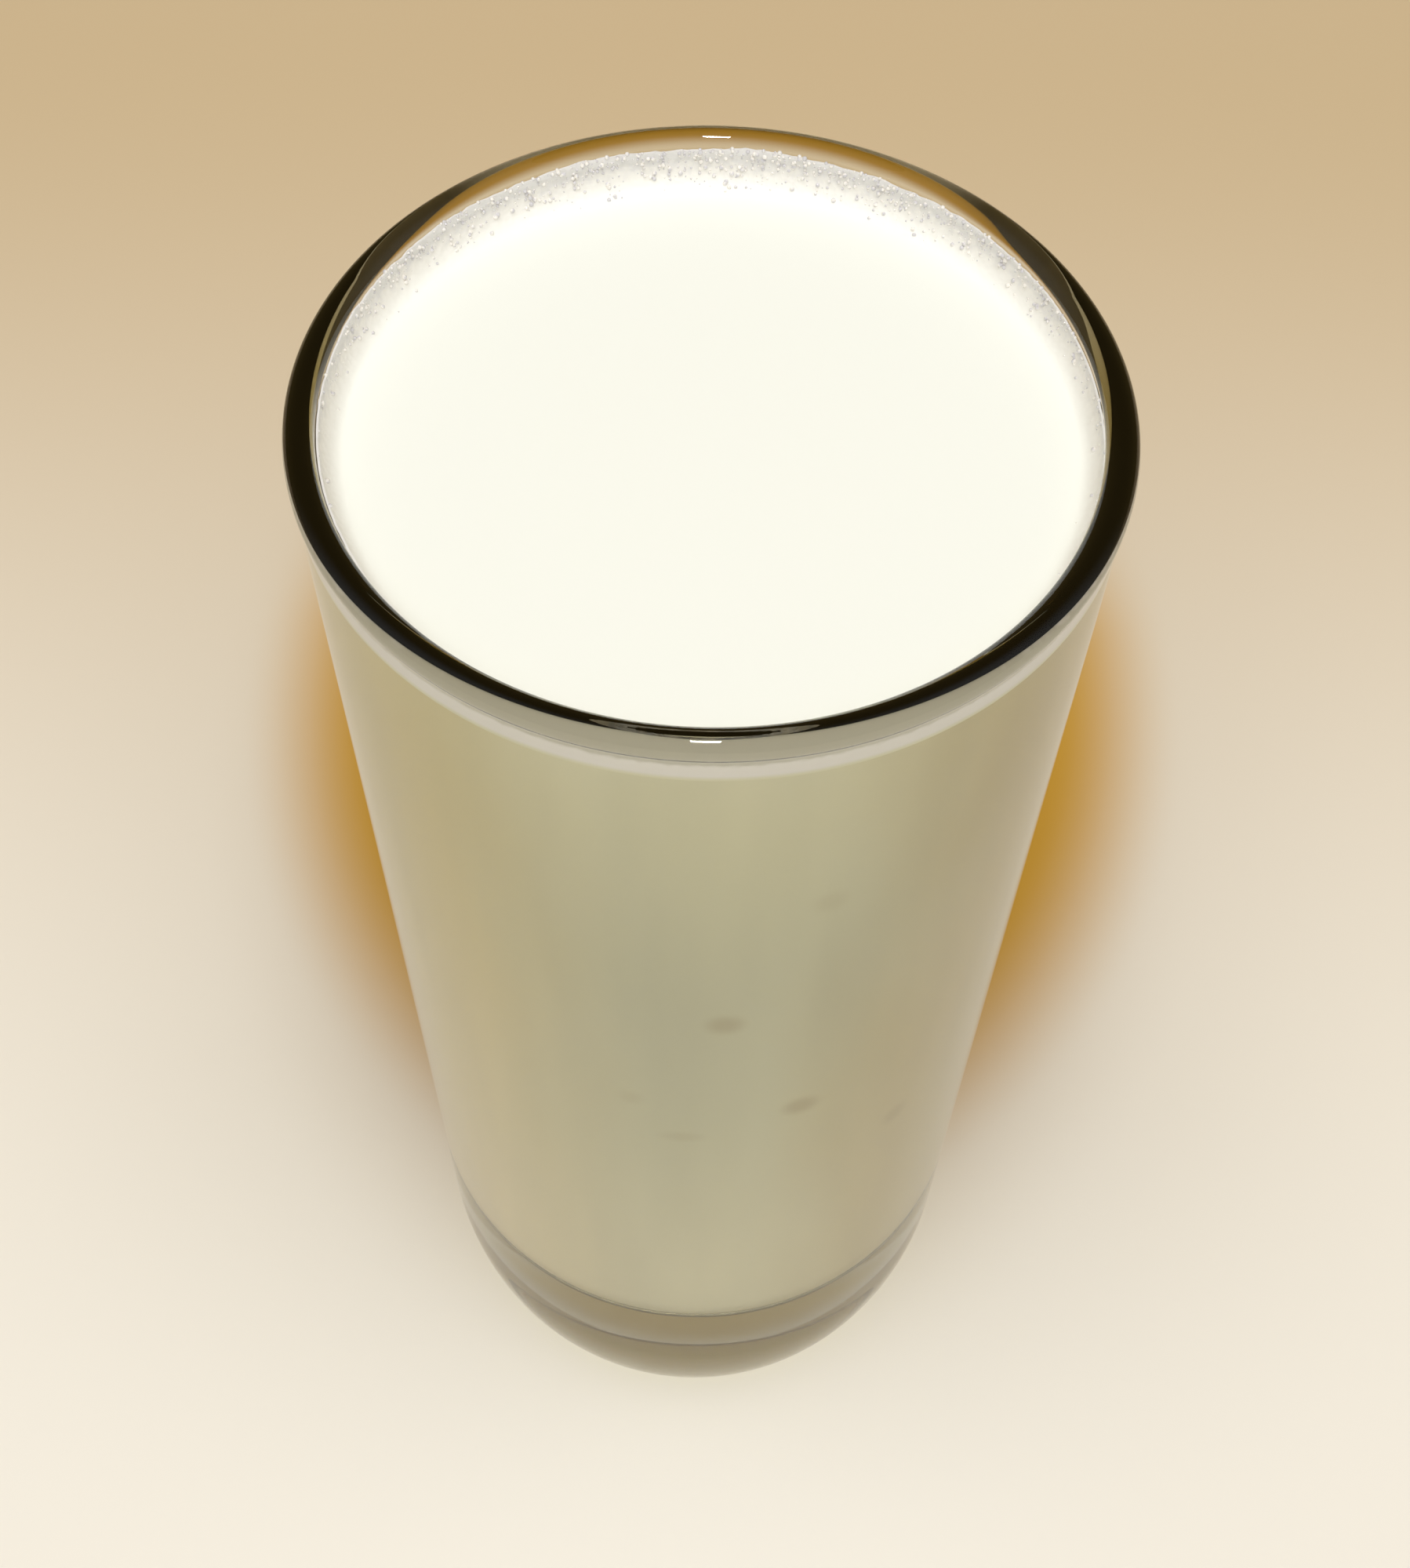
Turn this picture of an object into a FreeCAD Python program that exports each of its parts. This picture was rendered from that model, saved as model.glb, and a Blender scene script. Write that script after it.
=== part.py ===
"""A plain conical glass tumbler filled nearly to the lip with salt lassi.

The tumbler is one pressed piece: a straight tapering wall that ends in a fire-polished lip, a
thick clear base that rounds in at the heel, and a narrow standing ring round a shallow dished
underside. The lassi fills the cavity, and a thin layer of froth lies on it and creeps a little
way up the wall. All three are solids of revolution about +Z, standing on the floor at z = 0.
Lengths are in millimetres. A half section is drawn in the XZ plane, so its points are a radius
and a height.
"""
import FreeCAD, Part
import math
import os

# The tumbler's outside.
GLASS_HEIGHT = 138.0
WALL_RADIUS_AT_LIP = 34.65       # the straight outer wall, carried up to the lip's height
WALL_RADIUS_AT_FLOOR = 27.8      # the same wall, carried down to the floor
HEEL_RADIUS = 38.5               # the long curve that brings the wall in to the foot
FOOT_EDGE_RADIUS = 2.0           # the small round between that curve and the floor
STANDING_RADIUS = 23.2           # outside of the flat ring that the tumbler stands on

# The lip.
LIP_PROUD_OUTSIDE = 0.3          # how far the bead stands out from the outer wall
LIP_PROUD_INSIDE = 0.1           # and how far it stands in from the inner wall
LIP_BLEND_RADIUS = 2.5           # the hollow that eases the bead into the wall

# The underside.
STANDING_RING_WIDTH = 3.2
UNDERSIDE_RISE = 1.2             # how high the dished middle is off the floor

# The cavity.
WALL_THICKNESS = 2.1
BASE_THICKNESS = 20.5            # from the floor to the lowest point of the cavity
CAVITY_BOWL_RADIUS = 140.0       # the cavity's bottom is a very shallow bowl
CAVITY_CORNER_RADIUS = 7.0       # where the wall runs into that bowl

# The drink.
FROTH_BELOW_LIP = 4.6            # from the top of the lip down to the level froth
FROTH_DEPTH = 1.4
FROTH_CREEP = 0.9                # how far the froth climbs the wall
FROTH_CREEP_WIDTH = 2.2          # how far from the wall that climb starts

TAPER = (WALL_RADIUS_AT_LIP - WALL_RADIUS_AT_FLOOR) / GLASS_HEIGHT
SLANT = math.hypot(1.0, TAPER)   # length along the wall for each millimetre of height
FROTH_LEVEL = GLASS_HEIGHT - FROTH_BELOW_LIP
LASSI_LEVEL = FROTH_LEVEL - FROTH_DEPTH


def wall_radius(z, depth=0.0):
    """Radius at a height of the surface that lies a depth inside the outer wall."""
    return WALL_RADIUS_AT_FLOOR + TAPER * z - depth * SLANT


def wall_point(z, depth=0.0):
    """The point at a height on the surface that lies a depth inside the outer wall."""
    return FreeCAD.Vector(wall_radius(z, depth), 0, z)


def axis_point(z):
    """The point at a height on the tumbler's axis."""
    return FreeCAD.Vector(0, 0, z)


def round_centre(depth, anchor, reach, upper):
    """Centre of a round that touches the wall: it lies a depth inside the outer wall, and a
    reach from the anchor, which is the centre of the curve that the round also touches."""
    base = wall_radius(0, depth) - anchor.x
    a = 1 + TAPER ** 2
    half_b = base * TAPER - anchor.z
    c = base ** 2 + anchor.z ** 2 - reach ** 2
    root = math.sqrt(half_b ** 2 - a * c)
    return wall_point((-half_b + root if upper else -half_b - root) / a, depth)


def beside_wall(centre, distance):
    """The point a distance outward from a centre, square to the wall."""
    return centre + FreeCAD.Vector(1, 0, -TAPER) * (distance / SLANT)


def toward(centre, target, distance):
    """The point a distance from a centre, on the line to or, if negative, away from a target."""
    return centre + (target - centre).normalize() * distance


def line(start, end):
    """A straight edge."""
    return Part.LineSegment(start, end).toShape()


def arc(centre, start, end):
    """The shorter arc about a centre from one point to another."""
    radius = (start - centre).Length
    middle = centre + ((start - centre) + (end - centre)).normalize() * radius
    return Part.Arc(start, middle, end).toShape()


def revolved(edges):
    """The solid that a closed half section makes when it is turned round the axis."""
    section = Part.Face(Part.Wire(edges))
    return section.revolve(FreeCAD.Vector(), FreeCAD.Vector(0, 0, 1), 360)


def underside_edges():
    """The dished middle and the flat standing ring, from the axis outward."""
    middle = axis_point(UNDERSIDE_RISE)
    ring_inside = FreeCAD.Vector(STANDING_RADIUS - STANDING_RING_WIDTH, 0, 0)
    ring_outside = FreeCAD.Vector(STANDING_RADIUS, 0, 0)
    dish_radius = (ring_inside.x ** 2 + UNDERSIDE_RISE ** 2) / (2 * UNDERSIDE_RISE)
    dish_centre = axis_point(UNDERSIDE_RISE - dish_radius)
    return [arc(dish_centre, middle, ring_inside), line(ring_inside, ring_outside)]


def heel_and_wall_edges(wall_top):
    """The foot's edge, the heel and the straight outer wall up to a given point."""
    edge_start = FreeCAD.Vector(STANDING_RADIUS, 0, 0)
    edge_centre = FreeCAD.Vector(STANDING_RADIUS, 0, FOOT_EDGE_RADIUS)
    heel_centre = round_centre(HEEL_RADIUS, edge_centre, HEEL_RADIUS - FOOT_EDGE_RADIUS, True)
    heel_start = toward(edge_centre, heel_centre, -FOOT_EDGE_RADIUS)
    heel_end = beside_wall(heel_centre, HEEL_RADIUS)
    return [
        arc(edge_centre, edge_start, heel_start),
        arc(heel_centre, heel_start, heel_end),
        line(heel_end, wall_top),
    ]


def lip_edges():
    """The fire-polished bead and its two blends, from the outer wall over to the inner one."""
    bead_radius = (LIP_PROUD_OUTSIDE + WALL_THICKNESS * SLANT + LIP_PROUD_INSIDE) / 2
    bead_z = GLASS_HEIGHT - bead_radius
    bead_centre = FreeCAD.Vector(wall_radius(bead_z) + LIP_PROUD_OUTSIDE - bead_radius, 0, bead_z)
    bead_top = bead_centre + FreeCAD.Vector(0, 0, bead_radius)
    reach = bead_radius + LIP_BLEND_RADIUS
    outer_centre = round_centre(-LIP_BLEND_RADIUS, bead_centre, reach, False)
    inner_centre = round_centre(WALL_THICKNESS + LIP_BLEND_RADIUS, bead_centre, reach, False)
    outer_foot = beside_wall(outer_centre, -LIP_BLEND_RADIUS)
    inner_foot = beside_wall(inner_centre, LIP_BLEND_RADIUS)
    outer_join = toward(bead_centre, outer_centre, bead_radius)
    inner_join = toward(bead_centre, inner_centre, bead_radius)
    return outer_foot, inner_foot, [
        arc(outer_centre, outer_foot, outer_join),
        arc(bead_centre, outer_join, bead_top),
        arc(bead_centre, bead_top, inner_join),
        arc(inner_centre, inner_join, inner_foot),
    ]


def cavity_edges(wall_top):
    """The inner wall from a given point down, its corner and the shallow bowl to the axis."""
    bowl_centre = axis_point(BASE_THICKNESS + CAVITY_BOWL_RADIUS)
    reach = CAVITY_BOWL_RADIUS - CAVITY_CORNER_RADIUS
    corner_centre = round_centre(WALL_THICKNESS + CAVITY_CORNER_RADIUS, bowl_centre, reach, False)
    corner_top = beside_wall(corner_centre, CAVITY_CORNER_RADIUS)
    corner_foot = toward(corner_centre, bowl_centre, -CAVITY_CORNER_RADIUS)
    return [
        line(wall_top, corner_top),
        arc(corner_centre, corner_top, corner_foot),
        arc(bowl_centre, corner_foot, axis_point(BASE_THICKNESS)),
    ]


def tumbler():
    """The empty glass."""
    outer_foot, inner_foot, lip = lip_edges()
    return revolved(
        underside_edges()
        + heel_and_wall_edges(outer_foot)
        + lip
        + cavity_edges(inner_foot)
        + [line(axis_point(BASE_THICKNESS), axis_point(UNDERSIDE_RISE))]
    )


def lassi():
    """The drink, which fills the cavity up to the underside of its froth."""
    wall_top = wall_point(LASSI_LEVEL, WALL_THICKNESS)
    surface = axis_point(LASSI_LEVEL)
    return revolved(
        cavity_edges(wall_top)
        + [line(axis_point(BASE_THICKNESS), surface), line(surface, wall_top)]
    )


def froth():
    """The froth: a level layer whose edge curves up the wall."""
    under = axis_point(LASSI_LEVEL)
    level = axis_point(FROTH_LEVEL)
    wall_foot = wall_point(LASSI_LEVEL, WALL_THICKNESS)
    creep_top = wall_point(FROTH_LEVEL + FROTH_CREEP, WALL_THICKNESS)
    creep_start = FreeCAD.Vector(wall_radius(FROTH_LEVEL, WALL_THICKNESS) - FROTH_CREEP_WIDTH, 0,
                                 FROTH_LEVEL)
    run = creep_top.x - creep_start.x
    creep_radius = (run ** 2 + FROTH_CREEP ** 2) / (2 * FROTH_CREEP)
    creep_centre = creep_start + FreeCAD.Vector(0, 0, creep_radius)
    return revolved([
        line(under, wall_foot),
        line(wall_foot, creep_top),
        arc(creep_centre, creep_top, creep_start),
        line(creep_start, level),
        line(level, under),
    ])


def main():
    os.makedirs("parts", exist_ok=True)
    for name, make in (("tumbler", tumbler), ("lassi", lassi), ("froth", froth)):
        solid = make()
        box = solid.optimalBoundingBox()
        print(f"{name}: {solid.ShapeType} valid {solid.isValid()} volume {solid.Volume / 1000:.1f} ml "
              f"radius {box.XMax:.2f} z {box.ZMin:.2f} to {box.ZMax:.2f}")
        solid.exportStep(f"parts/{name}.step")


main()
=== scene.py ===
"""The finished look of a glass of salt lassi, modelled round its solids.

A clear pressed tumbler is redrawn as a finely turned surface, so that it refracts cleanly. The
lassi inside it reaches a hair into the wall, so that no air shows between the two. The froth is
a thin bright layer whose film and small bubbles cling to the wall above the drink.
Lengths are in metres, in the frame of the solids.
"""
import math
import random

import bpy
import bmesh
from bpy.props import FloatProperty, FloatVectorProperty, IntProperty, PointerProperty
from mathutils import Matrix, Vector, noise


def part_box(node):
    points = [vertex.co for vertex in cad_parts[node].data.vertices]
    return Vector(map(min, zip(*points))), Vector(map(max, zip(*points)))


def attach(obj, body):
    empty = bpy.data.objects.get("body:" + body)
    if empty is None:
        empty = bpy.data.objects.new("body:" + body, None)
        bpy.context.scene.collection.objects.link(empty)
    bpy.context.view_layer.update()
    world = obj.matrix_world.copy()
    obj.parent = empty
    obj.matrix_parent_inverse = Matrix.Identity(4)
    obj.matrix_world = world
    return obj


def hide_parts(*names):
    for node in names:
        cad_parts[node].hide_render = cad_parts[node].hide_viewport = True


bl_info = {
    "name": "Glass of Salt Lassi",
    "version": (1, 0, 0),
    "blender": (4, 5, 0),
    "location": "View3D > Sidebar > Lassi",
    "description": "Builds a filled conical tumbler, its froth and its bubbles",
    "category": "Add Mesh",
}

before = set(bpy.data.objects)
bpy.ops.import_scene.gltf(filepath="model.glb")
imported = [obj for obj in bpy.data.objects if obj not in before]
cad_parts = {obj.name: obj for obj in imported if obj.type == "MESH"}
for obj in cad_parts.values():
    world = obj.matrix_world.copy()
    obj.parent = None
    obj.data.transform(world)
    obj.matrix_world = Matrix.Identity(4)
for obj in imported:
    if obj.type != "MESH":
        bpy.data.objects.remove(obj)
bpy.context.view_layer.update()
GLASS_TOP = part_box("tumbler")[1].z
LASSI_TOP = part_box("lassi")[1].z
MM = 0.001
FROTH_LEVEL = GLASS_TOP - 4.6 * MM

# Steps along the stretches of a half section.
WALL_STEPS = 24
FINE_STEPS = 16
ROUND_STEPS = 12
SMALL_STEPS = 8
FILM_STEPS = 4

# Height below the lip to which its bead bulges unevenly.
BULGE_DEPTH = 2.4 * MM

# Heights between which the drink's colours change.
SIDE_FADE = (30 * MM, 128 * MM)
FRONT_LOW_FADE = (30 * MM, 85 * MM)
FRONT_HIGH_FADE = (95 * MM, 132 * MM)
CORNER_FADE = (26.8 * MM, 24.4 * MM)
BOTTOM_FADE = (23.8 * MM, 21.5 * MM)

# How far round the drink its colours change: x or y as a share of the radius.
LEFT_FADE = (-0.15, -0.8)
RIGHT_FADE = (0.25, 0.8)
BACK_FADE = (0.15, 0.7)

# Where the froth's colours change: a radius, within which the froth darkens toward the wall partly as
# painted shade, three heights, and two places from front to back, between which the froth against the
# glass is painted dark as shade.
RIM_SHADE_AND_GRAIN_FADE = (29.8 * MM, 32.8 * MM)
THIN_FADE = (FROTH_LEVEL + 1.0 * MM, FROTH_LEVEL + 2.8 * MM)
FILM_FADE = (FROTH_LEVEL + 0.3 * MM, FROTH_LEVEL + 1.2 * MM)
UNDER_FADE = (LASSI_TOP + 0.7 * MM, LASSI_TOP)
FLANK_SHADE_FADE = (-3 * MM, 8 * MM)
FAR_SHADE_FADE = (29 * MM, 24 * MM)

# Where the floor's and the sky's colours change from front to back.
FLOOR_FADE = (-40 * MM, 220 * MM)
AMBER_SHADOW_FADE = (118 * MM, 88 * MM)
SKY_FADE = (-0.1, 0.5)

# Painted amber shadow and painted warm light on the floor: centre and half sizes in millimetres, strength
# and core.
AMBER_SHADOW_PATCH = ((1, 80, 0), (66, 87, 50), 1.0, 0.72)
GLOW_PATCH = ((0, 74, 0), (70, 105, 50), 1.0, 0.2)

# Specks under the drink's surface: centre and half sizes in millimetres, and strength.
FLECKS = (
    ((2.4, -30.2, 92.8), (2.4, 3.0, 2.3), 0.38),
    ((9.5, -27.8, 74.5), (2.4, 3.0, 2.3), 0.42),
    ((18.7, -21.9, 62.6), (1.6, 3.0, 2.4), 0.24),
    ((-5.7, -29.0, 77.3), (1.6, 3.0, 1.8), 0.12),
    ((-1.1, -29.2, 70.3), (3.0, 3.0, 1.4), 0.15),
    ((10.4, -29.5, 111.7), (2.2, 3.0, 2.2), 0.12),
)

# The lamps' places and sizes, and the camera.
KEY_LAMP = ((0.0, -0.6, 1.95), (1.8, 1.8))
SPARK_LAMP = ((0.005, -0.33, 1.08), (0.07, 0.15))
CAMERA_PLACE = (0.00019, -0.15193, 0.29530)
CAMERA_PITCH = math.radians(54.106)
CAMERA_ROLL = math.radians(1.442)
CAMERA_LENS = 61.2


# ---------------------------------------------------------------- sizes and colours

def length(name, description, default, low=0.0):
    """A length that a user can change."""
    return FloatProperty(name=name, description=description, default=default, min=low,
                         precision=5, unit="LENGTH", subtype="DISTANCE")


def colour(name, description, default):
    """A colour that a user can change, as linear red, green and blue."""
    return FloatVectorProperty(name=name, description=description, default=default, size=3,
                               min=0.0, max=1.0, subtype="COLOR")


class TumblerSettings(bpy.types.PropertyGroup):
    """Sizes and finish of the glass."""
    radius_at_lip: length("Radius at lip", "Outer wall carried up to the lip", 34.65 * MM)
    radius_at_floor: length("Radius at floor", "Outer wall carried down to the floor", 27.8 * MM)
    heel_radius: length("Heel radius", "Long curve from the wall to the foot", 38.5 * MM)
    foot_edge: length("Foot edge", "Small round between heel and floor", 2.0 * MM)
    standing_radius: length("Standing radius", "Outside of the flat ring it stands on", 23.2 * MM)
    ring_width: length("Ring width", "Width of the flat standing ring", 3.2 * MM)
    underside_rise: length("Underside rise", "Height of the dished underside", 1.2 * MM)
    wall: length("Wall", "Thickness of the wall", 2.1 * MM)
    base: length("Base", "Thickness of the base on the axis", 20.5 * MM)
    bowl_radius: length("Bowl radius", "Radius of the cavity's shallow bottom", 140.0 * MM)
    corner_radius: length("Corner radius", "Round between cavity wall and bottom", 7.0 * MM)
    lip_proud_outside: length("Lip proud outside", "Bead beyond the outer wall", 0.3 * MM)
    lip_proud_inside: length("Lip proud inside", "Bead beyond the inner wall", 0.25 * MM)
    lip_uneven: length("Lip unevenness", "How much more the bead bulges inward at the right", 0.2 * MM)
    lip_blend: length("Lip blend", "Hollow that eases the bead into the wall", 2.5 * MM)
    turns: IntProperty(name="Turns", description="Steps round the axis", default=288, min=24)
    tint: colour("Tint", "Colour the clear glass gives to light", (0.985, 0.99, 0.975))
    tint_uneven: colour("Uneven tint", "Colour that it gives in its cloudier places", (0.97, 0.98, 0.945))
    depth_tint: colour("Depth tint", "Colour that thick glass takes on", (0.86, 0.88, 0.74))
    shadow_tint: colour("Shadow tint", "Colour of the light that passes through to a shadow",
                        (0.96, 0.97, 0.95))
    depth: FloatProperty(name="Depth", description="How fast thick glass takes on its colour",
                         default=8.0, min=0.0)


class LassiSettings(bpy.types.PropertyGroup):
    """Colours of the drink and how it meets the glass."""
    bite: length("Bite", "How far the drink reaches into the wall", 0.015 * MM)
    # The front and side colours are darker and warmer than the drink itself: painted shade, with painted
    # warm light on the sides.
    front_top: colour("Front, top", "Near face just under the froth", (0.75, 0.705, 0.475))
    front_middle: colour("Front, middle", "Near face half way down", (0.63, 0.60, 0.41))
    front_bottom: colour("Front, bottom", "Near face by the base", (0.745, 0.69, 0.475))
    left_top: colour("Left, top", "Left side just under the froth", (0.69, 0.57, 0.25))
    left_bottom: colour("Left, bottom", "Left side by the base", (0.83, 0.71, 0.43))
    right_top: colour("Right, top", "Right side just under the froth", (0.555, 0.435, 0.17))
    right_bottom: colour("Right, bottom", "Right side by the base", (0.64, 0.54, 0.30))
    back: colour("Back", "Far side", (0.86, 0.82, 0.64))
    fleck: colour("Fleck", "Small specks just under the surface", (0.38, 0.28, 0.12))
    # The corner's darker brown is painted shade under the drink.
    corner: colour("Corner", "Round of the bottom edge", (0.60, 0.49, 0.25))
    bottom: colour("Bottom", "Underside", (0.92, 0.85, 0.42))
    mirror: colour("Mirror", "Light that the drink throws back along the wall", (0.3, 0.28, 0.2))


class FrothSettings(bpy.types.PropertyGroup):
    """Sizes and colours of the froth and its bubbles."""
    creep_width: length("Creep width", "How far from the wall the froth starts to climb", 2.0 * MM)
    film_front: length("Film at front", "Height of the film on the near wall", 2.5 * MM)
    film_back: length("Film at back", "Height of the film on the far wall", 3.55 * MM)
    contact: length("Contact", "Height to which the froth touches the glass", 1.9 * MM)
    film_gap: length("Film gap", "How far the film stands off the glass above that", 0.08 * MM)
    film_sag: length("Film sag", "How much lower the film stands at the right", 0.5 * MM)
    film_uneven: length("Film unevenness", "How much the film's edge wanders", 0.5 * MM)
    film_thickness: length("Film thickness", "Thickness of the film on the wall", 0.35 * MM)
    turns: IntProperty(name="Turns", description="Steps round the axis", default=432, min=24)
    bubble_reach: length("Bubble reach", "How far in from the wall bubbles gather", 2.3 * MM)
    bubble_lift: FloatProperty(name="Bubble lift", default=0.2, min=0.0, max=1.0,
                               description="How many of its radii a bubble's middle stands out")
    bubble_small: length("Smallest bubble", "Radius of the smallest bubbles", 0.06 * MM)
    bubble_large: length("Largest bubble", "Radius of the largest bubbles", 0.23 * MM)
    bubbles: IntProperty(name="Bubbles", description="How many bubbles stand on the froth",
                         default=1200, min=0)
    white: colour("White", "Smooth froth in the middle", (0.965, 0.985, 0.925))
    # The edge colour is darker than the middle as painted shade by the wall.
    edge: colour("Edge", "Smooth froth by the wall", (0.94, 0.90, 0.84))
    thin: colour("Thin", "Thin froth at the top of the film", (0.83, 0.81, 0.79))
    mirror: colour("Mirror", "Light that froth throws back along the wall", (0.3, 0.28, 0.2))
    side: colour("Side", "Froth against the glass", (0.91, 0.86, 0.79))
    film: colour("Film", "Thin film against the glass", (0.60, 0.56, 0.44))
    # Behind and shade are painted shade: dark colours that make the lip's band look black.
    behind: colour("Behind", "Froth against the glass at the back", (0.11, 0.09, 0.05))
    shade: colour("Shade", "Outer side of the film where it stands off the glass", (0.05, 0.045, 0.03))
    under: colour("Under", "Froth against the glass where it meets the drink", (0.80, 0.755, 0.53))
    # The bubbles' grey is painted shade.
    bubble: colour("Bubble", "Walls of the bubbles", (0.70, 0.68, 0.70))


class StageSettings(bpy.types.PropertyGroup):
    """Floor, lamps and camera."""
    floor_near: colour("Floor near", "Colour of the floor in front", (0.96, 0.92, 0.84))
    floor_far: colour("Floor far", "Colour of the floor behind", (0.68, 0.53, 0.33))
    # The amber and the glow are painted shadow and painted light, colour in the floor.
    floor_amber_shadow: colour("Floor amber", "Amber light that the glass casts round itself",
                        (0.69, 0.385, 0.053))
    floor_glow: colour("Floor glow", "Warm light that falls through the drink behind the glass",
                       (0.42, 0.22, 0.02))
    sky_near: colour("Sky near", "Soft light from the front and above", (1.0, 0.97, 0.91))
    sky_far: colour("Sky far", "Soft light from behind", (0.53, 0.37, 0.115))
    sky_strength: FloatProperty(name="Sky strength", description="Strength of the soft light",
                                default=0.42, min=0.0)
    key_power: FloatProperty(name="Key power", description="Power of the lamp above",
                             default=33.0, min=0.0, unit="POWER")
    spark_power: FloatProperty(name="Spark power", description="Power of the small bright lamp",
                               default=4.0, min=0.0, unit="POWER")


# ---------------------------------------------------------------- drawing a turned shape

class HalfSection:
    """A line drawn in the XZ plane point by point, then turned round the axis.

    A point is a vector of radius, nought and height."""

    def __init__(self, name, start):
        bpy.ops.object.select_all(action="DESELECT")
        bpy.ops.mesh.primitive_plane_add(size=MM, location=(0, 0, 0))
        self.piece = bpy.context.object
        self.piece.name = name
        self.piece.data.name = name
        bpy.ops.object.mode_set(mode="EDIT")
        bpy.ops.mesh.merge(type="CENTER")
        bpy.ops.transform.translate(value=start)
        self.pen = start

    def line_to(self, end, steps=1):
        """A straight stretch, in so many equal steps."""
        stride = (end - self.pen) / steps
        for _ in range(steps):
            bpy.ops.mesh.extrude_region_move(TRANSFORM_OT_translate={"value": stride})
        self.pen = end

    def arc_to(self, centre, end, steps):
        """The shorter arc about a centre."""
        start_arm, end_arm = self.pen - centre, end - centre
        turn = math.atan2(end_arm.z, end_arm.x) - math.atan2(start_arm.z, start_arm.x)
        turn = (turn + math.pi) % (2 * math.pi) - math.pi
        bpy.ops.mesh.spin(steps=steps, angle=turn, center=centre, axis=(0, 1, 0))
        self.pen = end

    def revolve(self, turns):
        """Turn the line round the axis, close it and leave edit mode."""
        bpy.ops.mesh.select_all(action="SELECT")
        bpy.ops.mesh.spin(steps=turns, angle=2 * math.pi, center=(0, 0, 0), axis=(0, 0, 1))
        bpy.ops.mesh.select_all(action="SELECT")
        bpy.ops.mesh.remove_doubles(threshold=MM / 1000)
        bpy.ops.mesh.normals_make_consistent(inside=False)
        bpy.ops.object.mode_set(mode="OBJECT")
        bpy.ops.object.shade_smooth_by_angle(angle=math.radians(25))
        return self.piece


class Wall:
    """Where the tumbler's tapering wall, and what touches it, lies."""

    def __init__(self, sizes):
        self.s = sizes
        self.taper = (sizes.radius_at_lip - sizes.radius_at_floor) / GLASS_TOP
        self.slant = math.hypot(1.0, self.taper)

    def radius(self, z, depth=0.0):
        """Radius at a height of the surface a depth inside the outer wall."""
        return self.s.radius_at_floor + self.taper * z - depth * self.slant

    def bead(self):
        """Radius and centre of the lip's bead."""
        s = self.s
        bead = (s.wall * self.slant + s.lip_proud_outside + s.lip_proud_inside) / 2
        z = GLASS_TOP - bead
        return bead, Vector((self.radius(z) + s.lip_proud_outside - bead, 0, z))

    def point(self, z, depth=0.0):
        return Vector((self.radius(z, depth), 0, z))

    def round_centre(self, depth, anchor, reach, upper=False):
        """Centre of a round: a depth inside the outer wall, and a reach from the anchor."""
        base = self.radius(0, depth) - anchor.x
        a = 1 + self.taper ** 2
        half_b = base * self.taper - anchor.z
        c = base ** 2 + anchor.z ** 2 - reach ** 2
        root = math.sqrt(half_b ** 2 - a * c)
        return self.point((-half_b + root if upper else -half_b - root) / a, depth)

    def beside(self, centre, distance):
        """The point a distance outward from a centre, square to the wall."""
        return centre + Vector((1, 0, -self.taper)) * (distance / self.slant)


def toward(centre, target, distance):
    """The point a distance from a centre, on the line to a target."""
    return centre + (target - centre).normalized() * distance


def draw_cavity(section, wall, depth):
    """Continue a section down the cavity's wall and along its bottom to the axis."""
    s = wall.s
    grow = s.wall - depth
    bottom = s.base - grow
    bowl_centre = Vector((0, 0, bottom + s.bowl_radius))
    corner = s.corner_radius
    centre = wall.round_centre(depth + corner, bowl_centre, s.bowl_radius - corner)
    section.line_to(wall.beside(centre, corner), WALL_STEPS)
    section.arc_to(centre, toward(centre, bowl_centre, -corner), ROUND_STEPS)
    section.arc_to(bowl_centre, Vector((0, 0, bottom)), ROUND_STEPS)


# ---------------------------------------------------------------- materials

def new_material(name):
    """An empty node material, its tree and its output node."""
    material = bpy.data.materials.new(name)
    material.use_nodes = True
    tree = material.node_tree
    tree.nodes.clear()
    return material, tree, tree.nodes.new("ShaderNodeOutputMaterial")


def add_node(tree, kind, **values):
    """A node with some of its own values and unlinked sockets set by name."""
    node = tree.nodes.new(kind)
    for key, value in values.items():
        if hasattr(node, key):
            setattr(node, key, value)
        else:
            socket = node.inputs[key.replace("_", " ")]
            socket.default_value = (*value, 1) if socket.type == "RGBA" else value
    return node


def maths(tree, operation, first, second=None):
    """A Math node fed by sockets or plain numbers; its result socket."""
    node = tree.nodes.new("ShaderNodeMath")
    node.operation = operation
    for socket, value in zip(node.inputs, (first, second)):
        if isinstance(value, bpy.types.NodeSocket):
            tree.links.new(value, socket)
        elif value is not None:
            socket.default_value = value
    return node.outputs[0]


def step(tree, value, start, end):
    """Rises smoothly from nought to one as a value goes from a start to an end."""
    ramp = add_node(tree, "ShaderNodeMapRange", interpolation_type="SMOOTHSTEP",
                    From_Min=start, From_Max=end)
    tree.links.new(value, ramp.inputs["Value"])
    return ramp.outputs[0]


def blend_colours(tree, factor, first, second):
    """Mix two colours, given as sockets or as plain values."""
    mix = add_node(tree, "ShaderNodeMix", data_type="RGBA")
    for socket, value in ((mix.inputs[0], factor), (mix.inputs[6], first), (mix.inputs[7], second)):
        if isinstance(value, bpy.types.NodeSocket):
            tree.links.new(value, socket)
        else:
            socket.default_value = value if isinstance(value, float) else (*value, 1)
    return mix.outputs[2]


def object_place(tree):
    """The object's own coordinates."""
    return tree.nodes.new("ShaderNodeTexCoord").outputs["Object"]


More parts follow.
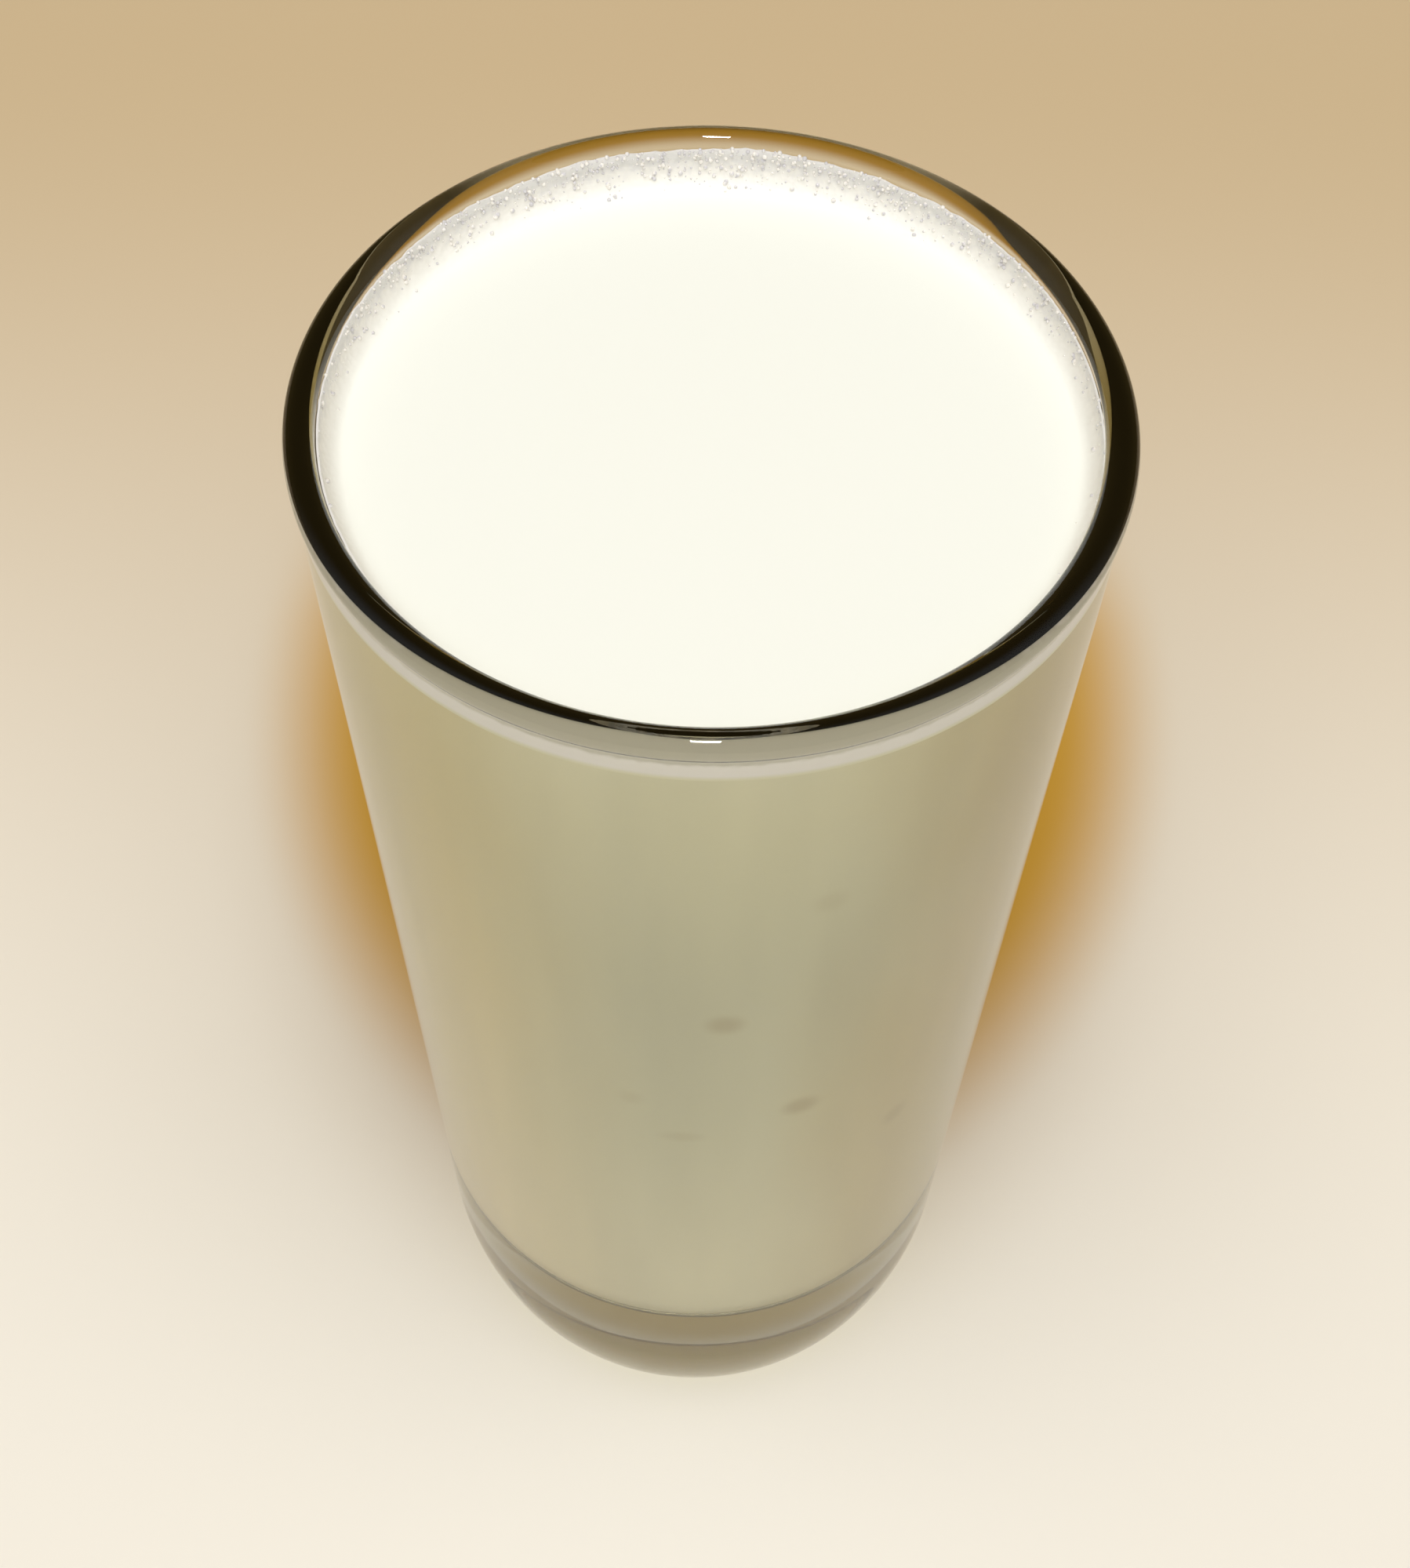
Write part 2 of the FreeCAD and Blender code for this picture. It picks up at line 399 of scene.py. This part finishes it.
def axes(tree, place):
    """A place split into X, Y and Z."""
    split = tree.nodes.new("ShaderNodeSeparateXYZ")
    tree.links.new(place, split.inputs[0])
    return split.outputs


def axis_distance(tree, x, y):
    """Distance from the axis, kept off nought so that it can divide."""
    square = maths(tree, "ADD", maths(tree, "MULTIPLY", x, x), maths(tree, "MULTIPLY", y, y))
    return maths(tree, "MAXIMUM", maths(tree, "SQRT", square), MM)


def noise_factor(tree, place, scale, detail=2.0, roughness=0.5):
    """Soft noise from nought to one; a scale of three numbers stretches it along the axes."""
    if isinstance(scale, tuple):
        mapping = add_node(tree, "ShaderNodeMapping", Scale=scale)
        tree.links.new(place, mapping.inputs["Vector"])
        place, scale = mapping.outputs[0], 1.0
    noise_node = add_node(tree, "ShaderNodeTexNoise", Scale=scale, Detail=detail, Roughness=roughness)
    tree.links.new(place, noise_node.inputs["Vector"])
    return noise_node.outputs[0]


def waver(tree, noise_socket, reach):
    """Turn noise into a length that sways about nought, half of the reach either way."""
    return maths(tree, "MULTIPLY", maths(tree, "SUBTRACT", noise_socket, 0.5), reach)


def paint(tree, tone, out, **values):
    """Finish a material with one plain surface of a colour; its shader node."""
    shader = add_node(tree, "ShaderNodeBsdfPrincipled", **values)
    tree.links.new(tone, shader.inputs["Base Color"])
    tree.links.new(shader.outputs[0], out.inputs["Surface"])
    return shader


def glass_material(s):
    """Clear glass that lets the lamps through, and takes on colour where it is thick."""
    material, tree, out = new_material("clear_glass")
    place = object_place(tree)
    glass = add_node(tree, "ShaderNodeBsdfPrincipled", Roughness=0.0, IOR=1.5, Transmission_Weight=1.0)
    cloud = noise_factor(tree, place, 30.0)
    tint = blend_colours(tree, step(tree, cloud, 0.3, 0.7), s.tint, s.tint_uneven)
    tree.links.new(tint, glass.inputs["Base Color"])
    clear = add_node(tree, "ShaderNodeBsdfTransparent", Color=s.shadow_tint)
    path = add_node(tree, "ShaderNodeLightPath")
    mix = add_node(tree, "ShaderNodeMixShader")
    tree.links.new(path.outputs["Is Shadow Ray"], mix.inputs[0])
    tree.links.new(glass.outputs[0], mix.inputs[1])
    tree.links.new(clear.outputs[0], mix.inputs[2])
    tree.links.new(mix.outputs[0], out.inputs["Surface"])
    depth = add_node(tree, "ShaderNodeVolumeAbsorption", Color=s.depth_tint, Density=s.depth)
    tree.links.new(depth.outputs[0], out.inputs["Volume"])
    return material


def against_glass(tree, s, colour_socket, out):
    """Finish a material that touches the glass: light that grazes the wall stays in the wall."""
    milk = add_node(tree, "ShaderNodeBsdfPrincipled", Roughness=0.5, Specular_IOR_Level=0.0)
    tree.links.new(colour_socket, milk.inputs["Base Color"])
    mirror = add_node(tree, "ShaderNodeBsdfGlossy", Color=s.mirror, Roughness=0.0)
    fresnel = add_node(tree, "ShaderNodeFresnel", IOR=0.9)
    mix = tree.nodes.new("ShaderNodeMixShader")
    tree.links.new(fresnel.outputs[0], mix.inputs[0])
    tree.links.new(milk.outputs[0], mix.inputs[1])
    tree.links.new(mirror.outputs[0], mix.inputs[2])
    tree.links.new(mix.outputs[0], out.inputs["Surface"])


def lassi_material(s):
    """The drink against the glass, with painted shade in front and at the sides, where painted warm light
    also makes it warmer, and with a few specks in front.
    """
    material, tree, out = new_material("lassi")
    place = object_place(tree)
    x, y, z = axes(tree, place)
    height = step(tree, z, *SIDE_FADE)
    low = blend_colours(tree, step(tree, z, *FRONT_LOW_FADE), s.front_bottom, s.front_middle)
    front = blend_colours(tree, step(tree, z, *FRONT_HIGH_FADE), low, s.front_top)
    left = blend_colours(tree, height, s.left_bottom, s.left_top)
    right = blend_colours(tree, height, s.right_bottom, s.right_top)
    radius = axis_distance(tree, x, y)
    drift = waver(tree, noise_factor(tree, place, (45, 45, 14)), 0.6)
    aside = maths(tree, "ADD", maths(tree, "DIVIDE", x, radius), drift)
    behind = maths(tree, "DIVIDE", y, radius)
    body = blend_colours(tree, step(tree, aside, *LEFT_FADE), front, left)
    body = blend_colours(tree, step(tree, aside, *RIGHT_FADE), body, right)
    body = blend_colours(tree, step(tree, behind, *BACK_FADE), body, s.back)
    body = shade_in_streaks(tree, place, body)
    body = blend_colours(tree, step(tree, z, *CORNER_FADE), body, s.corner)
    body = blend_colours(tree, step(tree, z, *BOTTOM_FADE), body, s.bottom)
    for fleck in FLECKS:
        body = blend_colours(tree, spot_factor(tree, place, *fleck), body, s.fleck)
    against_glass(tree, s, body, out)
    return material


def shade_in_streaks(tree, place, body):
    """Make a colour a little lighter and darker in long upright streaks."""
    streak = noise_factor(tree, place, (90, 90, 12), roughness=0.6)
    light = add_node(tree, "ShaderNodeMapRange", From_Min=0.3, From_Max=0.7, To_Min=0.95, To_Max=1.05)
    tree.links.new(streak, light.inputs["Value"])
    scaled = add_node(tree, "ShaderNodeVectorMath", operation="SCALE")
    tree.links.new(body, scaled.inputs[0])
    tree.links.new(light.outputs[0], scaled.inputs["Scale"])
    return scaled.outputs[0]


def spot_factor(tree, place, spot, size, strength, core=0.2):
    """How strongly an oval spot of colour shows at a place, softening from its core outward."""
    offset = add_node(tree, "ShaderNodeVectorMath", operation="SUBTRACT")
    tree.links.new(place, offset.inputs[0])
    offset.inputs[1].default_value = Vector(spot) * MM
    stretch = add_node(tree, "ShaderNodeVectorMath", operation="DIVIDE")
    tree.links.new(offset.outputs[0], stretch.inputs[0])
    stretch.inputs[1].default_value = Vector(size) * MM
    reach = add_node(tree, "ShaderNodeVectorMath", operation="LENGTH")
    tree.links.new(stretch.outputs[0], reach.inputs[0])
    return maths(tree, "MULTIPLY", step(tree, reach.outputs["Value"], 1.0, core), strength)


def froth_top_material(s):
    """Bright froth, grainier and warmer by the wall, where it is also darker as painted shade."""
    material, tree, out = new_material("froth_top")
    place = object_place(tree)
    x, y, z = axes(tree, place)
    rim = step(tree, axis_distance(tree, x, y), *RIM_SHADE_AND_GRAIN_FADE)
    tone = blend_colours(tree, rim, s.white, s.edge)
    ragged = waver(tree, noise_factor(tree, place, 1300.0), 3.0 * MM)
    thin = step(tree, maths(tree, "ADD", z, ragged), *THIN_FADE)
    tone = blend_colours(tree, thin, tone, s.thin)
    froth = paint(tree, tone, out, Roughness=0.5, Specular_IOR_Level=0.3)
    grain = add_node(tree, "ShaderNodeTexVoronoi", Scale=1500.0)
    tree.links.new(place, grain.inputs["Vector"])
    bump = add_node(tree, "ShaderNodeBump", Strength=0.5, Distance=0.2 * MM)
    tree.links.new(maths(tree, "MULTIPLY", grain.outputs["Distance"], rim), bump.inputs["Height"])
    tree.links.new(bump.outputs[0], froth.inputs["Normal"])
    return material


def froth_side_material(s):
    """Froth against the glass: it thins upward into a film, and is painted dark as shade on both flanks
    behind.
    """
    material, tree, out = new_material("froth")
    place = object_place(tree)
    x, y, z = axes(tree, place)
    wander = waver(tree, noise_factor(tree, place, 900.0), 0.8 * MM)
    thin = step(tree, maths(tree, "ADD", z, wander), *FILM_FADE)
    tone = blend_colours(tree, thin, s.side, s.film)
    tone = blend_colours(tree, step(tree, z, *UNDER_FADE), tone, s.under)
    # Painted shade: the froth against the glass is dark on both flanks behind.
    dark = maths(tree, "MULTIPLY", step(tree, y, *FLANK_SHADE_FADE), step(tree, y, *FAR_SHADE_FADE))
    tone = blend_colours(tree, dark, tone, s.behind)
    against_glass(tree, s, tone, out)
    return material


def painted_film_shade_material(s):
    """The outer side of the film, where it stands off the glass, painted dark as shade."""
    material, tree, out = new_material("film_back")
    place = object_place(tree)
    grain = noise_factor(tree, place, 900.0)
    tone = blend_colours(tree, step(tree, grain, 0.3, 0.7), s.shade, s.behind)
    paint(tree, tone, out, Roughness=0.6)
    return material


def bubble_material(s):
    """Thin shiny walls of bubbles, some greyer than others; the grey is painted shade in the bubbles."""
    material, tree, out = new_material("bubbles")
    place = object_place(tree)
    tones = noise_factor(tree, place, 1800.0, detail=1.0)
    pale = blend_colours(tree, step(tree, tones, 0.4, 0.6), s.bubble, s.edge)
    paint(tree, pale, out, Roughness=0.12, Coat_Weight=0.5)
    return material


def floor_material(s):
    """A pale floor, warmer toward the back, with painted amber shadow round the glass and painted warm
    light where light falls through the drink.
    """
    material, tree, out = new_material("floor")
    place = object_place(tree)
    y = axes(tree, place)["Y"]
    tone = blend_colours(tree, step(tree, y, *FLOOR_FADE), s.floor_near, s.floor_far)
    # Painted shadow of the glass, tinted amber, and painted warm light behind it.
    amber = maths(tree, "MULTIPLY", spot_factor(tree, place, *AMBER_SHADOW_PATCH), step(tree, y, *AMBER_SHADOW_FADE))
    tone = blend_colours(tree, amber, tone, s.floor_amber_shadow)
    tone = blend_colours(tree, spot_factor(tree, place, *GLOW_PATCH), tone, s.floor_glow)
    paint(tree, tone, out, Roughness=0.6, Specular_IOR_Level=0.2)
    return material


# ---------------------------------------------------------------- the pieces

class LASSI_OT_tumbler(bpy.types.Operator):
    """Turn the clear glass tumbler"""
    bl_idname = "lassi.tumbler"
    bl_label = "Tumbler"

    def execute(self, context):
        s = context.scene.lassi_tumbler
        wall = Wall(s)
        section = HalfSection("glass_tumbler", Vector((0, 0, s.underside_rise)))
        self.draw_underside(section, s)
        self.draw_outside(section, wall)
        self.draw_lip(section, wall)
        draw_cavity(section, wall, s.wall)
        piece = section.revolve(s.turns)
        self.bulge_lip(piece, wall)
        piece.data.materials.append(glass_material(s))
        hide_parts("tumbler")
        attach(piece, "root")
        return {"FINISHED"}

    def bulge_lip(self, piece, wall):
        """Thicken the bead inward toward the right, as the lip of a pressed glass is uneven."""
        s = wall.s
        for vert in piece.data.vertices:
            radius = math.hypot(vert.co.x, vert.co.y)
            middle = wall.radius(vert.co.z, s.wall / 2)
            if radius < middle and vert.co.z > GLASS_TOP - 2 * s.wall:
                share = min(1.0, (middle - radius) / (s.wall / 2))
                vert.co.xy *= 1 - share * lip_bulge(s, vert.co) / radius

    def draw_underside(self, section, s):
        inside = Vector((s.standing_radius - s.ring_width, 0, 0))
        dish = (inside.x ** 2 + s.underside_rise ** 2) / (2 * s.underside_rise)
        section.arc_to(Vector((0, 0, s.underside_rise - dish)), inside, ROUND_STEPS)
        section.line_to(Vector((s.standing_radius, 0, 0)), 2)

    def draw_outside(self, section, wall):
        s = wall.s
        edge = Vector((s.standing_radius, 0, s.foot_edge))
        heel = wall.round_centre(s.heel_radius, edge, s.heel_radius - s.foot_edge, upper=True)
        section.arc_to(edge, toward(edge, heel, -s.foot_edge), SMALL_STEPS)
        section.arc_to(heel, wall.beside(heel, s.heel_radius), FINE_STEPS)

    def draw_lip(self, section, wall):
        s = wall.s
        bead, centre = wall.bead()
        reach = bead + s.lip_blend
        outer = wall.round_centre(-s.lip_blend, centre, reach)
        inner = wall.round_centre(s.wall + s.lip_blend, centre, reach)
        section.line_to(wall.beside(outer, -s.lip_blend), WALL_STEPS)
        section.arc_to(outer, toward(centre, outer, bead), SMALL_STEPS)
        section.arc_to(centre, centre + Vector((0, 0, bead)), FINE_STEPS)
        section.arc_to(centre, toward(centre, inner, bead), FINE_STEPS)
        section.arc_to(inner, wall.beside(inner, s.lip_blend), SMALL_STEPS)


def toward_right(place):
    """Nought over most of the way round, and rising to one at the right and a little in front."""
    return max(0.0, (place.x - 0.35 * place.y) / math.hypot(place.x, place.y)) ** 2


def lip_bulge(s, place):
    """How much further than elsewhere the bead reaches inward at a place."""
    height = 1 - (GLASS_TOP - place.z) / BULGE_DEPTH
    if not 0 < height < 1:
        return 0.0
    return s.lip_uneven * toward_right(place) * math.sin(math.pi * height) ** 2


def lip_reach(wall, place):
    """How far the bead stands inward of the line of the inner wall at a place."""
    bead, centre = wall.bead()
    drop = place.z - centre.z
    if abs(drop) >= bead:
        return 0.0
    round_edge = centre.x - math.sqrt(bead ** 2 - drop ** 2)
    return max(0.0, wall.radius(place.z, wall.s.wall) - round_edge) + lip_bulge(wall.s, place)


class LASSI_OT_drink(bpy.types.Operator):
    """Fill the tumbler with lassi, which reaches a hair into the wall"""
    bl_idname = "lassi.drink"
    bl_label = "Lassi"

    def execute(self, context):
        wall = Wall(context.scene.lassi_tumbler)
        s = context.scene.lassi_drink
        depth = wall.s.wall - s.bite
        section = HalfSection("lassi_drink", Vector((0, 0, LASSI_TOP)))
        section.line_to(wall.point(LASSI_TOP, depth), SMALL_STEPS)
        draw_cavity(section, wall, depth)
        piece = section.revolve(wall.s.turns)
        piece.data.materials.append(lassi_material(s))
        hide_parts("lassi")
        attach(piece, "root")
        return {"FINISHED"}


class LASSI_OT_froth(bpy.types.Operator):
    """Lay the froth on the lassi, with its film up the wall"""
    bl_idname = "lassi.froth"
    bl_label = "Froth"

    def execute(self, context):
        wall = Wall(context.scene.lassi_tumbler)
        s = context.scene.lassi_froth
        bite = context.scene.lassi_drink.bite
        piece = self.lay(wall, s, bite)
        for make in (froth_top_material, froth_side_material, painted_film_shade_material):
            piece.data.materials.append(make(s))
        for face in piece.data.polygons:
            face.material_index = self.pick_material(face.center, wall, s, bite)
        self.settle(piece, wall, s)
        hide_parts("froth")
        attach(piece, "root")
        return {"FINISHED"}

    def lay(self, wall, s, bite):
        """The froth with a film of even height."""
        depth = wall.s.wall - bite
        top = FROTH_LEVEL + s.film_front
        section = HalfSection("froth_layer", Vector((0, 0, LASSI_TOP)))
        section.line_to(wall.point(LASSI_TOP, depth), FILM_STEPS)
        section.line_to(wall.point(FROTH_LEVEL, depth), FILM_STEPS)
        section.line_to(wall.point(FROTH_LEVEL + s.contact, depth), FILM_STEPS)
        depth += bite + s.film_gap
        section.line_to(wall.point(FROTH_LEVEL + s.contact, depth))
        section.line_to(wall.point(top, depth))
        section.line_to(wall.point(top, depth + s.film_thickness / 2))
        # The film tapers over its upper part, and the froth curves up into it below that.
        start = Vector((wall.radius(FROTH_LEVEL, wall.s.wall) - s.creep_width, 0, FROTH_LEVEL))
        foot = wall.point(FROTH_LEVEL + s.film_front * 0.6, depth + s.film_thickness)
        section.line_to(foot, FILM_STEPS)
        run, rise = foot.x - start.x, foot.z - start.z
        radius = (run ** 2 + rise ** 2) / (2 * rise)
        section.arc_to(start + Vector((0, 0, radius)), start, ROUND_STEPS)
        section.line_to(Vector((0, 0, FROTH_LEVEL)), ROUND_STEPS)
        return section.revolve(s.turns)

    def pick_material(self, place, wall, s, bite):
        """Nought for the froth's top, one against the glass, two for the film's outer side."""
        inward = wall.radius(place.z, wall.s.wall) - math.hypot(place.x, place.y)
        if inward < -bite / 2:
            return 1
        return 2 if inward < 1.2 * s.film_gap else 0

    def settle(self, piece, wall, s):
        """Raise the film at the back, let its edge wander and keep it clear of the lip's bead."""
        mesh = bmesh.new()
        mesh.from_mesh(piece.data)
        for vert in mesh.verts:
            climb = (vert.co.z - FROTH_LEVEL) / s.film_front
            radius = math.hypot(vert.co.x, vert.co.y)
            inward = wall.radius(vert.co.z, wall.s.wall) - radius
            if climb > 0 and inward > 0:
                lift = climb * (film_height(s, vert.co) - s.film_front)
                vert.co.z += lift
                in_film = inward < 1.2 * (s.film_gap + s.film_thickness)
                clear = lip_reach(wall, vert.co) if in_film else 0.0
                vert.co.xy *= (radius + wall.taper * lift - clear) / radius
        mesh.to_mesh(piece.data)
        mesh.free()


def film_height(s, place):
    """Height of the film above the level froth, on the wall beside a place."""
    back = (1 + place.y / math.hypot(place.x, place.y)) / 2
    even = s.film_front + (s.film_back - s.film_front) * back ** 0.4
    even -= s.film_sag * toward_right(place)
    around = Vector((place.x, place.y, 0)).normalized()
    wander = 0.6 * noise.noise(around * 5) + 0.4 * noise.noise(around * 34)
    return even + wander * s.film_uneven


def turned_order(place, turns, part):
    """A key that sorts places on a turned shape alike in every run.

    It counts the steps round the axis and then goes along the half section. The part is half a
    step for the middles of faces, which lie between two steps."""
    steps = math.atan2(place.y, place.x) * turns / (2 * math.pi)
    return round(steps + part) % turns, math.hypot(place.x, place.y) - 2 * place.z


class LASSI_OT_bubbles(bpy.types.Operator):
    """Scatter bubbles on the froth, most of them at the back"""
    bl_idname = "lassi.bubbles"
    bl_label = "Bubbles"

    def execute(self, context):
        wall = Wall(context.scene.lassi_tumbler)
        s = context.scene.lassi_froth
        froth = bpy.data.objects["froth_layer"].data
        faces = [face for face in froth.polygons
                 if face.material_index == 0 and face.center.z > FROTH_LEVEL - MM / 10]
        faces.sort(key=lambda face: turned_order(face.center, s.turns, 0.5))
        weights = [face.area * self.crowding(face.center, wall, s) for face in faces]
        chance = random.Random(7)
        bubble = self.model_bubble()
        copies = []
        for face in chance.choices(faces, weights, k=s.bubbles):
            size = s.bubble_small + (s.bubble_large - s.bubble_small) * chance.random() ** 2
            place = self.spot_on(face, froth, chance, s.turns)
            copy = bubble.copy()
            copy.data = bubble.data.copy()
            copy.matrix_world = (Matrix.Translation(place + face.normal * size * s.bubble_lift)
                                 @ face.normal.to_track_quat("Z", "Y").to_matrix().to_4x4()
                                 @ Matrix.Rotation(chance.uniform(0, math.pi), 4, "Z")
                                 @ Matrix.Diagonal((size, size, size, 1)))
            context.collection.objects.link(copy)
            copies.append(copy)
        bpy.data.objects.remove(bubble)
        bpy.ops.object.select_all(action="DESELECT")
        for copy in copies:
            copy.select_set(True)
        context.view_layer.objects.active = copies[0]
        bpy.ops.object.join()
        piece = context.object
        bpy.ops.object.transform_apply(location=True, rotation=True, scale=True)
        piece.name = piece.data.name = "froth_bubbles"
        piece.data.materials.append(bubble_material(s))
        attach(piece, "root")
        return {"FINISHED"}

    def crowding(self, place, wall, s):
        """How likely bubbles are at a place: thick on the far wall, few elsewhere."""
        radius = math.hypot(place.x, place.y)
        inward = wall.radius(place.z, wall.s.wall) - radius
        near = max(0.0, 1 - inward / s.bubble_reach) ** 1.5
        climb = max(0.0, place.z - FROTH_LEVEL) / s.film_back
        back = max(0.0, place.y / radius)
        return near * (0.3 + climb) * (back + 0.05 if place.y > -radius / 2 else 0.0)

    def spot_on(self, face, froth, chance, turns):
        """A point at a chance place on a face."""
        corners = [froth.vertices[index].co for index in face.vertices]
        corners.sort(key=lambda corner: turned_order(corner, turns, 0.0))
        shares = [chance.random() for _ in corners]
        return sum((corner * share for corner, share in zip(corners, shares)), Vector()) / sum(shares)

    def model_bubble(self):
        """One bubble of unit radius, its lower part cut off."""
        bpy.ops.object.select_all(action="DESELECT")
        bpy.ops.mesh.primitive_ico_sphere_add(subdivisions=2, radius=1, location=(0, 0, 0))
        bubble = bpy.context.object
        bpy.ops.object.mode_set(mode="EDIT")
        bpy.ops.mesh.select_all(action="SELECT")
        bpy.ops.mesh.bisect(plane_co=(0, 0, -0.5), plane_no=(0, 0, 1), use_fill=True,
                            clear_inner=True)
        bpy.ops.object.mode_set(mode="OBJECT")
        bpy.ops.object.shade_smooth()
        return bubble


class LASSI_OT_stage(bpy.types.Operator):
    """Set the floor, the lamps and the camera"""
    bl_idname = "lassi.stage"
    bl_label = "Stage"

    def execute(self, context):
        s = context.scene.lassi_stage
        self.add_floor(s)
        self.add_sky(context, s)
        key = self.add_lamp("key_lamp", *KEY_LAMP, s.key_power)
        key.visible_glossy = key.visible_transmission = False
        spark = self.add_lamp("spark_lamp", *SPARK_LAMP, s.spark_power)
        spark.visible_diffuse = False
        self.add_camera(context)
        context.scene.view_settings.view_transform = "Standard"
        return {"FINISHED"}

    def add_floor(self, s):
        bpy.ops.object.select_all(action="DESELECT")
        bpy.ops.mesh.primitive_plane_add(size=4.0, location=(0, 0, -MM / 10))
        floor = bpy.context.object
        floor.name = "floor"
        floor.data.materials.append(floor_material(s))

    def add_sky(self, context, s):
        world = bpy.data.worlds.new("soft_light")
        world.use_nodes = True
        tree = world.node_tree
        toward_sky = tree.nodes.new("ShaderNodeTexCoord").outputs["Generated"]
        split = tree.nodes.new("ShaderNodeSeparateXYZ")
        tree.links.new(toward_sky, split.inputs[0])
        tone = blend_colours(tree, step(tree, split.outputs["Y"], *SKY_FADE), s.sky_near, s.sky_far)
        background = tree.nodes["Background"]
        tree.links.new(tone, background.inputs["Color"])
        background.inputs["Strength"].default_value = s.sky_strength
        context.scene.world = world

    def add_lamp(self, name, place, size, power):
        bpy.ops.object.light_add(type="AREA", location=place)
        lamp = bpy.context.object
        lamp.name = name
        lamp.data.shape = "RECTANGLE"
        lamp.data.size, lamp.data.size_y = size
        lamp.data.energy = power
        aim = Vector((0, 0, GLASS_TOP)) - Vector(place)
        lamp.rotation_euler = aim.to_track_quat("-Z", "Y").to_euler()
        return lamp

    def add_camera(self, context):
        bpy.ops.object.camera_add()
        camera = bpy.context.object
        camera.name = "camera"
        camera.data.lens = CAMERA_LENS
        camera.data.clip_start = 0.01
        camera.matrix_world = (Matrix.Translation(CAMERA_PLACE)
                               @ Matrix.Rotation(math.pi / 2 - CAMERA_PITCH, 4, "X")
                               @ Matrix.Rotation(CAMERA_ROLL, 4, "Z"))
        context.scene.camera = camera


class LASSI_PT_panel(bpy.types.Panel):
    """Lists the pieces of the glass of lassi"""
    bl_idname = "LASSI_PT_panel"
    bl_label = "Glass of Salt Lassi"
    bl_space_type = "VIEW_3D"
    bl_region_type = "UI"
    bl_category = "Lassi"

    def draw(self, context):
        for operator in OPERATORS:
            self.layout.operator(operator.bl_idname)
        for group, members in SETTINGS.items():
            box = self.layout.box()
            for key in members.__annotations__:
                box.prop(getattr(context.scene, group), key)


OPERATORS = (LASSI_OT_tumbler, LASSI_OT_drink, LASSI_OT_froth, LASSI_OT_bubbles, LASSI_OT_stage)
SETTINGS = {
    "lassi_tumbler": TumblerSettings,
    "lassi_drink": LassiSettings,
    "lassi_froth": FrothSettings,
    "lassi_stage": StageSettings,
}


def register():
    for part in (*SETTINGS.values(), *OPERATORS, LASSI_PT_panel):
        bpy.utils.register_class(part)
    for name, group in SETTINGS.items():
        setattr(bpy.types.Scene, name, PointerProperty(type=group))


def unregister():
    for name in SETTINGS:
        delattr(bpy.types.Scene, name)
    for part in reversed((*SETTINGS.values(), *OPERATORS, LASSI_PT_panel)):
        bpy.utils.unregister_class(part)


def main():
    register()
    bpy.ops.lassi.tumbler()
    bpy.ops.lassi.drink()
    bpy.ops.lassi.froth()
    bpy.ops.lassi.bubbles()
    bpy.ops.lassi.stage()


if __name__ == "__main__":
    main()
